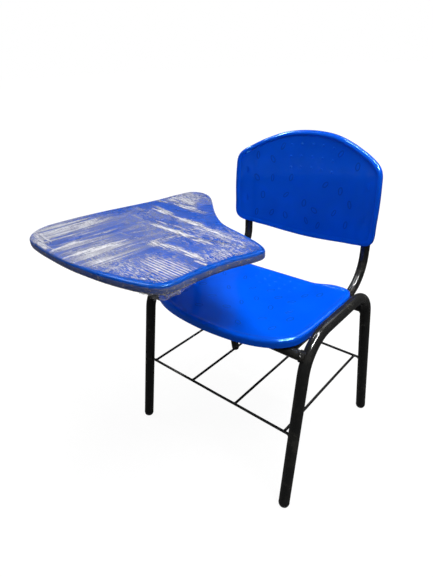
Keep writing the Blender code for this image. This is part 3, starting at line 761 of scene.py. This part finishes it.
def make_rack():
    for name, rear in ENDS:
        def sway(share):
            spread = 2.0 * share - 1.0
            return Vector((0.0, wander(spread * 2.3, 7.0 * rear, 1.7), wander(spread * 2.1, 7.0 * rear, 5.2)))
        add_rod(f"rack_cross_rod_{name}", f"rack_rod_{name}", leg_point(-1, RACK_HEIGHT, rear),
                leg_point(1, RACK_HEIGHT, rear), ROD_RADIUS, 60, sway)
    for number, x in enumerate(RACK_WIRES_X, start=1):
        def sway(share):
            along, row = share * 2.0, number * 3.1
            return Vector((wander(along, row, 0.4), 0.0, wander(along, row, 8.4)))
        start, end = (Vector((x, leg_y(RACK_HEIGHT, rear), RACK_HEIGHT)) for _, rear in ENDS)
        add_rod(f"rack_long_rod_{number}", f"rack_wire_{number}", start, end, ROD_RADIUS * 0.98, 40, sway)


def over_rail(y, height):
    """Above the rail on the tablet's side."""
    return Vector((-RAIL_TRACK, y, height))


def make_arm():
    corners = [over_rail(ARM_Y_REAR, RAIL_HEIGHT), over_rail(ARM_Y_REAR, ARM_HEIGHT),
               over_rail(ARM_Y_FRONT, ARM_HEIGHT), Vector((ARM_X_END, ARM_Y_FRONT, ARM_HEIGHT))]
    add_bar("arm_tube", "tablet_arm_tube", bent_path(corners, (ARM_REAR_BEND, ARM_FRONT_BEND)))
    strut = [over_rail(STRUT_Y, height) for height in (RAIL_HEIGHT, 0.5, ARM_HEIGHT)]
    add_bar("arm_strut", "tablet_strut", strut, TUBE_RADIUS * 0.99)


def make_welds():
    """Rippled beads of weld round every joint of the frame, painted over."""
    beads = bmesh.new()
    for side in (1, -1):
        for height, rear, radius, bead in (
                (SEAT_TUBE_HEIGHT, False, TUBE_RADIUS, 0.0021), (REAR_BAR_HEIGHT, True, TUBE_RADIUS, 0.0021),
                (RACK_HEIGHT, False, ROD_RADIUS, 0.0016), (RACK_HEIGHT, True, ROD_RADIUS, 0.0016)):
            leg_axis = Vector((0.0, REAR_RAKE if rear else FRONT_RAKE, 1.0)).normalized()
            add_weld_ring(beads, leg_point(side, height, rear), X_AXIS * -side, leg_axis, radius,
                          LEG_RADIUS, bead, 16)
        add_weld_ring(beads, seat_tube_start(side), Y_AXIS, X_AXIS, TUBE_RADIUS * 0.98, TUBE_RADIUS, 0.0017)
        crossing_y = leg_y(REAR_BAR_HEIGHT, True)
        for offset in (-0.0045, 0.0045):
            spot = (side * seat_tube_x(crossing_y), crossing_y + offset, SEAT_TUBE_HEIGHT - TUBE_RADIUS)
            add_weld_tack(beads, Vector(spot), X_AXIS, 0.0075, 0.0022)
    for x in RACK_WIRES_X:
        for rear, towards in ((False, Y_AXIS), (True, -Y_AXIS)):
            side_of_rod = Vector((x, leg_y(RACK_HEIGHT, rear), RACK_HEIGHT)) + towards * 0.0034
            add_weld_tack(beads, side_of_rod + Z_AXIS * 0.0012, X_AXIS, 0.0032, 0.0026)
            add_weld_tack(beads, side_of_rod - Z_AXIS * 0.0014, X_AXIS, 0.003, 0.0024)
    for y in (ARM_Y_REAR, STRUT_Y):
        add_weld_ring(beads, over_rail(y, RAIL_HEIGHT), Z_AXIS, Y_AXIS, TUBE_RADIUS, LEG_RADIUS, 0.002)
    add_weld_ring(beads, over_rail(STRUT_Y, ARM_HEIGHT), -Z_AXIS, Y_AXIS, TUBE_RADIUS * 0.98, TUBE_RADIUS,
                  0.0017)
    add_piece("frame_welds", beads, WELD_ENAMEL)


# ---- screws
def screw_master():
    """A pan head screw with a cross recess, along Z, its head's seat at the origin."""
    profile = ((0.0004, -0.003), (0.0018, -0.0029), (0.0032, -0.0025), (0.0043, -0.0017), (0.0048, -0.0008),
               (0.0048, 0.0), (0.0022, 0.0), (0.0022, 0.02), (0.0008, 0.0225))
    head = add_lathe(bmesh.new(), profile, 32, Matrix())
    cross = bmesh.new()
    for angle in (0.0, pi / 2):
        spin = Matrix.Rotation(angle, 3, "Z")
        loft(cross, [[spin @ Vector((x * half, y * 0.00045, z)) for x, y in SQUARE]
                     for half, z in ((0.0026, -0.0045), (0.0008, -0.0008))])
    for body in (head, cross):
        bmesh.ops.recalc_face_normals(body, faces=body.faces)
    blank = add_object("screw_blank", head)
    cutter = add_object("screw_recess", cross)
    cut = blank.modifiers.new("recess", "BOOLEAN")
    cut.operation = "DIFFERENCE"
    cut.solver = "EXACT"
    cut.use_self = True
    cut.object = cutter
    bpy.context.view_layer.update()
    done = bpy.data.meshes.new_from_object(blank.evaluated_get(bpy.context.evaluated_depsgraph_get()))
    bpy.data.objects.remove(blank)
    bpy.data.objects.remove(cutter)
    return done


def make_screws():
    master = screw_master()
    under_tube = SEAT_TUBE_HEIGHT - TUBE_RADIUS
    seat = [Matrix.Translation((side * seat_tube_x(y), y, under_tube))
            for y in SEAT_BOSS_Y for side in (1, -1)]
    turn = Matrix.Rotation(pi / 2 - BACK_LEAN, 4, "X")
    back = [Matrix.Translation(upright_point(side, boss_distance(rise)) - BACK_NORMAL * TUBE_RADIUS) @ turn
            for rise in BACK_BOSS_V for side in (1, -1)]
    tablet = [Matrix.Translation((x, y, ARM_HEIGHT - TUBE_RADIUS)) for x, y in ARM_SCREWS]
    spin = 0
    for group, places in (("seat", seat), ("back", back), ("tablet", tablet)):
        for number, matrix in enumerate(places, start=1):
            screw = bmesh.new()
            screw.from_mesh(master)
            screw.transform(matrix @ Matrix.Rotation(spin * 0.83, 4, "Z"))
            node = f"{group}_screw_{number}"
            add_piece(f"pan_head_{node}", screw, ZINC, [node], 30.0)
            spin += 1


# ---- seat
SEAT_HALF_OUTLINE = [
    (0.0, SEAT_FRONT), (0.075, SEAT_FRONT + 0.006), (0.137, SEAT_FRONT + 0.0215),
    (0.185, SEAT_FRONT + 0.047), (0.209, SEAT_FRONT + 0.083), (SEAT_HALF_WIDTH, -0.04),
    (SEAT_HALF_WIDTH, 0.06), (0.208, 0.095), (0.19, SEAT_REAR - 0.0015), (0.15, SEAT_REAR),
    (0.085, SEAT_REAR - 0.001), (0.0, SEAT_REAR - 0.001)]
SEAT_RIM = [
    (0.0, -0.019), (0.0, -0.013), (0.0, -0.008), (0.0012, -0.0035), (0.0045, -0.0008), (0.009, 0.0),
    (0.015, -0.0012)]
SEAT_MARKS = (
    (-0.007, 0.0, 60), (0.033, -0.038, -52), (0.085, -0.055, -60), (0.015, -0.073, -48), (0.11, -0.005, 48),
    (0.151, -0.077, 80), (0.098, -0.105, 40), (0.139, -0.128, 70), (0.0, -0.11, 20), (-0.058, 0.037, -60),
    (0.037, 0.017, 50), (0.072, -0.003, 58), (0.132, -0.05, 62), (0.12, 0.038, 75), (0.15, 0.055, 85),
    (-0.057, -0.033, -45), (-0.062, -0.09, 35), (-0.12, -0.06, 50), (-0.115, 0.02, -40),
    (0.065, -0.15, -30), (-0.055, -0.145, 25), (-0.13, -0.12, 60))


def seat_height(x, y):
    across = min(1.0, abs(x) / SEAT_HALF_WIDTH)
    along = (y - (SEAT_FRONT + SEAT_REAR) / 2) / ((SEAT_REAR - SEAT_FRONT) / 2)
    front_fall = SEAT_FRONT_FALL * max(0.0, -along) ** 3
    rear_fall = SEAT_REAR_FALL * (1.0 - eased(across, 0.45, 0.78)) * max(0.0, along) ** 2
    dish = SEAT_DISH * (1.0 - across ** 3) * max(0.0, 1.0 - abs(along) ** 3)
    return SEAT_SIDE_Z - front_fall - rear_fall - dish


def make_seat():
    outline = smoothed(mirrored(SEAT_HALF_OUTLINE), 12, closed=True)
    seat = shell(outline, smoothed(SEAT_RIM, 5), seat_height, lambda x, y: 1.0)
    for y in SEAT_BOSS_Y:
        for side in (1, -1):
            x = side * seat_tube_x(y)
            add_boss(seat, Matrix.Translation((x, y, 0.0)), SEAT_TUBE_HEIGHT + TUBE_RADIUS,
                     seat_height(x, y) - 0.0028, 0.007, 0.0006, 0.0004)
    add_piece("seat_pan", seat, BLUE_PLASTIC, ["seat_shell"])
    level = SEAT_RIM[-1][1]
    dots = dotted(seat_height, level, (0.088, 0.0645, 0.04), 0.0175, 0.0, 0.00045)
    add_texture("seat", Matrix(), dots, marked(seat_height, level, SEAT_MARKS), BLUE_PLASTIC, BLUE_MARK)


# ---- back
BACK_HALF_OUTLINE = [
    (0.0, -0.0375), (0.06, -0.0345), (0.12, -0.027), (0.17, -0.02), (0.196, -0.012), (0.2085, 0.006),
    (0.2095, 0.045), (BACK_HALF_WIDTH, 0.09), (0.208, 0.135), (0.2045, 0.162), (0.192, 0.18),
    (0.165, 0.1965), (0.12, 0.2175), (0.065, 0.2345), (0.0, 0.24)]
BACK_RIM = [
    (0.0004, -0.0052), (0.0, -0.0025), (0.0005, 0.0), (0.0017, 0.0024), (0.0036, 0.0044), (0.0062, 0.0057),
    (0.009, 0.006), (0.0112, 0.005), (0.0127, 0.0034), (0.014, 0.0027), (0.0168, 0.0028)]
BACK_CREASE = 0.158
BACK_MARKS = (
    (-0.078, 0.197, 62), (0.087, 0.192, 50), (0.138, 0.168, 80), (-0.147, 0.17, 85), (-0.105, 0.162, -60),
    (-0.149, 0.11, -55), (-0.104, 0.112, 85), (-0.05, 0.118, 70), (-0.13, 0.063, 88), (-0.062, 0.07, 45),
    (0.128, 0.075, -75), (-0.007, 0.055, 80), (-0.147, 0.012, 80), (-0.102, 0.015, 65),
    (-0.061, 0.013, -70), (0.003, 0.008, -65), (0.123, 0.022, 80), (0.097, 0.103, 85), (0.04, 0.002, 70),
    (0.052, 0.112, 45), (0.025, 0.04, -30), (0.085, 0.045, 60))


def back_depth(u, v):
    """Hollow across, straight up and down, with a soft crease near each side."""
    crease = 0.0017 * (eased(abs(u), BACK_CREASE - 0.012, BACK_CREASE + 0.004)
                       - eased(abs(u), BACK_CREASE + 0.006, BACK_CREASE + 0.03))
    return -BACK_HOLLOW * (1.0 - (u / BACK_HALF_WIDTH) ** 2) - crease


def bead_share(u, v):
    """The rim's bead is full along the top and sides and fades towards the foot."""
    return 0.1 + 0.9 * eased(v, 0.01, 0.06)


def make_back():
    place = (Matrix.Translation((0.0, BACK_EDGE_Y, BACK_FOOT_Z))
             @ Matrix.Rotation(pi / 2 - BACK_LEAN, 4, "X"))
    outline = smoothed(mirrored(BACK_HALF_OUTLINE), 10, closed=True)
    back = shell(outline, smoothed(BACK_RIM, 4), back_depth, bead_share)
    back.transform(place)
    level = BACK_RIM[-1][1]
    for rise in BACK_BOSS_V:
        for side in (1, -1):
            foot = upright_point(side, boss_distance(rise)) + BACK_NORMAL * TUBE_RADIUS
            u = side * SEAT_TUBE_REAR_X
            face = place @ Vector((u, rise, back_depth(u, rise) + level))
            top = (face - foot).dot(BACK_NORMAL) - 0.0018
            add_boss(back, standing(foot, BACK_NORMAL), 0.0, top, 0.0075, 0.0005, 0.0002)
    # The back's shell, pimples and marks use the darkened blue, which is painted shade.
    add_piece("back_rest", back, SHADED_BACK_PLASTIC, ["back_shell"])
    dots = dotted(back_depth, level, (0.2065, 0.1767, 0.149), 0.006, 0.001, 0.0006)
    add_texture("back", place, dots, marked(back_depth, level, BACK_MARKS), SHADED_BACK_PLASTIC, SHADED_BACK_MARK)


# ---- tablet and its film
TABLET_OUTLINE = [
    (-0.326, -0.374), (-0.29, -0.394), (-0.225, -0.404), (-0.125, -0.41), (-0.025, -0.404), (0.05, -0.39),
    (0.083, -0.377), (0.097, -0.354), (0.101, -0.306), (0.113, -0.238), (0.136, -0.176), (0.135, -0.152),
    (0.108, -0.132), (0.051, -0.1105), (-0.013, -0.0885), (-0.053, -0.0645), (-0.104, -0.022),
    (-0.1575, 0.031), (-0.187, 0.058), (-0.215, 0.0735), (-0.245, 0.0765), (-0.268, 0.062),
    (-0.2795, 0.024), (-0.2895, -0.045), (-0.308, -0.112), (-0.33, -0.188), (-0.3445, -0.268),
    (-0.348, -0.331)]
FILM_HUB = Vector((-0.155, -0.215))
FILM_FIELD = 0.05
FILM_CREASE = 0.001
SPAN_STEPS = 14
TAIL_SPAN = (5, 8)
TAIL_CORNER = Vector((0.092, -0.368))
TAIL_ROWS = 9


def edge_profile(grow):
    """(inset, height) down the tablet's rounded edge, from its top face to its underside."""
    radius = TABLET_EDGE_RADIUS
    reach = radius + grow
    arc = [(reach * cos(pi / 2 * step / 7), reach * sin(pi / 2 * step / 7)) for step in range(8)]
    return ([(radius - out, TABLET_TOP - radius + up) for up, out in arc]
            + [(radius - out, TABLET_BOTTOM + radius - down) for out, down in arc])


def pull_height(x, y):
    """How far the film stands proud where it is gathered, in the same places as its white streaks."""
    proud = 0.0
    for px, py, degrees, half_length, half_width, strength in ACROSS_PULLS + ALONG_PULLS:
        local = Matrix.Rotation(-radians(degrees), 2) @ Vector((x - px, y - py))
        reach = hypot(local.x / half_length, local.y / half_width)
        if reach < 1.3:
            ridges = 0.5 + 0.5 * wander(local.x * 26.0, local.y * 210.0, px * 40.0)
            proud = max(proud, strength * (1.0 - eased(reach, 0.3, 1.3)) * ridges)
    return proud


def make_tablet():
    outline = smoothed(TABLET_OUTLINE, SPAN_STEPS, closed=True)
    board = bmesh.new()
    loft(board, [[(*point, height) for point in inset_loop(outline, inset)]
                 for inset, height in edge_profile(0.0)])
    add_piece("writing_board", board, BLUE_BOARD, ["tablet_board"])
    make_film(outline)
    make_film_tail(outline)


def make_film(outline):
    """The film's outer skin with its folds, its inner skin, and the ragged edge under the board."""
    grown = FILM_CLEARANCE + FILM_THICKNESS
    # Each ring has its points and how far it lies in from the board's edge, or below its top.
    rings = []
    insets = [TABLET_EDGE_RADIUS, 0.008, 0.01, 0.0125, 0.015, 0.018, 0.021]
    margin = inset_series(outline, insets, 0.0015, 0.05)
    steps = 62
    loops = [[FILM_HUB + (point - FILM_HUB) * (step / steps) for point in margin[-1]]
             for step in range(1, steps + 1)] + margin[-2::-1]
    depths = [FILM_FIELD] * (steps - 1) + insets[::-1]
    for loop, inwards in zip(loops, depths):
        tension = eased(inwards, TABLET_EDGE_RADIUS, 0.018)
        ring = []
        for x, y in loop:
            rise = pull_height(x, y) * 0.0011 + max(0.0, wander(x * 22.0, y * 22.0, 3.0)) * 0.0002
            ring.append((x, y, TABLET_TOP + grown + rise * tension))
        rings.append((ring, inwards))
    profile = edge_profile(grown)
    for depth, (inset, height) in enumerate(profile[1:], start=1):
        fold = FILM_CREASE * (1.0 - abs(2.0 * depth / (len(profile) - 1) - 1.0))
        ring = []
        for point in inset_loop(outline, inset):
            crease = max(0.0, wander(point.x * 55.0, point.y * 55.0, height * 120.0))
            ring.append((*(point + (point - FILM_HUB).normalized() * crease * fold), height))
        rings.append((ring, inset - (TABLET_TOP - height)))
    ragged = inset_loop(outline, lambda point: 0.013 + 0.006 * wander(point.x * 30.0, point.y * 30.0, 9.0))
    for drop in (grown, FILM_CLEARANCE):
        rings.append(([(*point, TABLET_BOTTOM - drop) for point in ragged], -TABLET_THICKNESS))
    for inset, height in reversed(edge_profile(FILM_CLEARANCE)):
        ring = [(*point, height) for point in inset_loop(outline, inset)]
        rings.append((ring, inset - (TABLET_TOP - height)))
    film = bmesh.new()
    skins = loft(film, [points for points, _ in rings], capped=False)
    fan(film, skins[0], film.verts.new((*FILM_HUB, TABLET_TOP + grown)))
    film.faces.new(skins[-1])
    piece = add_piece("film_skin", film, CLEAR_FILM, ["tablet_film"], 60.0)
    values = [inwards for points, inwards in rings for _ in points] + [FILM_FIELD]
    piece.data.attributes.new("inwards", "FLOAT", "POINT").data.foreach_set("value", values)


def make_film_tail(outline):
    """The film's loose end: a thin crumpled ribbon hanging round the inner edge and front corner."""
    first, last = TAIL_SPAN[0] * SPAN_STEPS, TAIL_SPAN[1] * SPAN_STEPS
    loops = []
    for index in range(first, last + 1):
        x, y = point = outline[index]
        along = (outline[index + 1] - outline[index - 1]).normalized()
        share = (index - first) / (last - first)
        taper = min(1.0, 4.0 * share, 4.0 * (1.0 - share))
        corner = exp(-((point - TAIL_CORNER).length / 0.03) ** 2)
        drop = (0.0008 + 0.003 * (0.5 + wander(x * 60.0, y * 60.0, 2.0)) + 0.005 * corner) * taper
        skins = []
        for thickness in (0.0, FILM_THICKNESS):
            skin = []
            for step in range(TAIL_ROWS + 1):
                fall = step / TAIL_ROWS
                ripple = wander(x * 90.0, y * 90.0, fall * 1.6) * 0.0022 * fall
                spot = point + Vector((along.y, -along.x)) * (0.0013 + ripple - 0.0016 * fall - thickness)
                skin.append((*spot, TABLET_BOTTOM + 0.005 * (1.0 - fall) - drop * fall))
            skins.append(skin)
        loops.append(skins[0] + skins[1][::-1])
    tail = bmesh.new()
    rings = loft(tail, loops, capped=False)
    for end in (rings[0], rings[-1]):
        for step in range(TAIL_ROWS):
            tail.faces.new((end[step], end[step + 1], end[-2 - step], end[-1 - step]))
    add_piece("film_loose_end", tail, CLEAR_TAIL, (), 60.0)


# ---- studio
FLOOR_REACH = 60.0
FLOOR_GLOW = 0.94
AIR_GLOW = 0.12
AIR_SHEEN = 0.075


def make_lamp(name, direction, distance, width, depth, power, colour=(1, 1, 1), matt=True, gloss=True,
              faced=(0.0, 0.0, 0.42)):
    """A lamp panel facing the chair, its width level along X, for the matt colour, the gloss or both."""
    outwards = Vector(direction).normalized()
    level = (X_AXIS - outwards * outwards.x).normalized()
    data = bpy.data.lights.new(name, "AREA")
    data.shape = "RECTANGLE"
    data.size, data.size_y = width, depth
    data.energy, data.color = power, colour
    lamp = placed(name, data)
    lamp.matrix_world = facing(Vector(faced) + outwards * distance, level, outwards.cross(level), outwards)
    lamp.visible_camera = False
    lamp.visible_diffuse = matt
    lamp.visible_glossy = gloss


def make_studio():
    """A pale floor and air that show white and give little light, and the lamps."""
    sheet = bmesh.new()
    sheet.faces.new([sheet.verts.new((x * FLOOR_REACH, y * FLOOR_REACH, 0.0)) for x, y in SQUARE])
    ground = add_object("studio_floor", sheet)
    ground.location = (0.0, 0.0, -0.0004)
    ground.visible_glossy = False
    paint, place = start_material("studio_floor_paint")
    glow = place.length().ramp(0.45, 1.3, FLOOR_GLOW, 1.0)
    ground.data.materials.append(finished(paint, {
        "Base Color": place.noise(40.0, 2.0).colours((0.08, 0.08, 0.08), (0.1, 0.1, 0.1)),
        "Roughness": 0.9,
        "Specular IOR Level": 0.0,
        "Emission Color": (1.0, 1.0, 1.0, 1.0),
        "Emission Strength": add(place.tree, "LightPath", output="Is Camera Ray") * glow}))

    world = bpy.data.worlds.new("studio_air")
    world.use_nodes = True
    air = world.node_tree
    in_gloss = add(air, "LightPath", output="Is Glossy Ray").ramp(0.0, 1.0, AIR_GLOW, AIR_SHEEN)
    feed(air, air.nodes["Background"], {
        "Color": (1.0, 1.0, 1.0, 1.0),
        "Strength": add(air, "LightPath", output="Is Camera Ray").highest(in_gloss)})
    bpy.context.scene.world = world
    make_lamp("key", (0.38, -0.1, 0.92), 2.6, 1.1, 1.1, 55.0, gloss=False)
    make_lamp("overhead", (-0.1, 0.08, 0.98), 2.5, 1.2, 0.35, 26.0, gloss=False)
    make_lamp("behind", (0.1, 0.62, 0.8), 2.9, 1.4, 1.4, 14.0)
    make_lamp("fill_right", (-0.8, -0.5, 0.32), 2.6, 0.9, 0.9, 12.0, (1.0, 0.98, 0.95), gloss=False)
    make_lamp("fill_side", (-0.98, -0.14, 0.13), 2.6, 0.7, 0.7, 13.0, gloss=False)
    make_lamp("beside_back", (0.55, -0.5, 0.62), 0.28, 0.2, 0.2, 0.36, gloss=False, faced=(0.15, 0.2, 0.75))
    make_lamp("fill_left", (0.92, -0.3, 0.26), 2.6, 0.8, 0.8, 6.0, gloss=False)
    make_lamp("strip_left", (0.36, -0.24, 0.9), 2.86, 0.11, 1.8, 230.0, matt=False)
    make_lamp("strip_right", (-0.56, -0.15, 0.81), 3.3, 0.11, 1.8, 80.0, matt=False)
    make_lamp("strip_across", (0.08, 0.08, 0.98), 2.5, 1.3, 0.14, 55.0, matt=False)
    bpy.context.scene.view_settings.view_transform = "Standard"


# ---- camera
EYE = Vector((0.56069, -0.76677, 0.90753))
EYE_AZIMUTH = 0.7321
EYE_PITCH = 0.4858
EYE_ROLL = -0.0454
SENSOR = 36.0
LENS = 26.7076


def make_camera():
    """A camera above the sitter's front left, looking down past the tablet."""
    view = Vector((-sin(EYE_AZIMUTH) * cos(EYE_PITCH), cos(EYE_AZIMUTH) * cos(EYE_PITCH), -sin(EYE_PITCH)))
    level = Vector((cos(EYE_AZIMUTH), sin(EYE_AZIMUTH), 0.0))
    up = level.cross(view)
    right = level * cos(EYE_ROLL) + up * sin(EYE_ROLL)
    upwards = up * cos(EYE_ROLL) - level * sin(EYE_ROLL)
    data = bpy.data.cameras.new("camera")
    data.sensor_width = SENSOR
    data.lens = LENS
    data.clip_start = 0.01
    eye = placed("camera", data)
    eye.matrix_world = facing(EYE, right, upwards, -view)
    bpy.context.scene.camera = eye


make_camera()
make_frame()
make_plugs()
make_rack()
make_arm()
make_welds()
make_screws()
make_seat()
make_back()
make_tablet()
make_studio()
